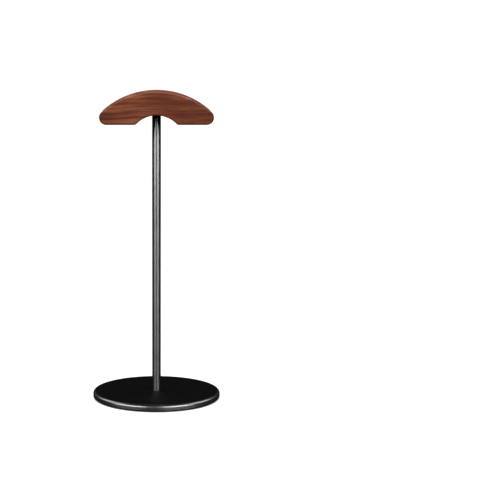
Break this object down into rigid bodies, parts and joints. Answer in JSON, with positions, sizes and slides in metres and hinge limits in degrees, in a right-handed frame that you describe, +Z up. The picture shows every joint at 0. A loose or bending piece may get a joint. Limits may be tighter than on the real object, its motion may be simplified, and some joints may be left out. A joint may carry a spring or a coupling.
{
  "type": "headphone stand",
  "caption": "Free-standing headphone stand: a domed wooden saddle with a hollowed crown on a slim black pole, screwed to a flat weighted round base.",
  "frame": {"origin": "centre of the foot pad's underside, on the surface the stand rests on", "axes": "+Z up along the pole, X along the saddle's length, Y across it from front (-Y) to back (+Y)"},
  "size_m": [0.12, 0.12, 0.2895],
  "materials": {
    "saddle_wood": "oiled walnut, satin",
    "insert_brass": "machined and knurled",
    "fastener_steel": "black oxide",
    "black_anodised": "black anodised, semi-gloss",
    "ballast_steel": "zinc plated",
    "pad_rubber": "matt, fine grain",
    "adhesive_film": "translucent film"
  },
  "bodies": {
    "root": {"saddle": "saddle_wood", "saddle_insert": "insert_brass", "saddle_stud": "fastener_steel", "pole": "black_anodised", "base_shell": "black_anodised", "base_weight": "ballast_steel", "base_screw": "fastener_steel", "base_pad": "pad_rubber", "pad_adhesive": "adhesive_film"}
  },
  "joints": []
}
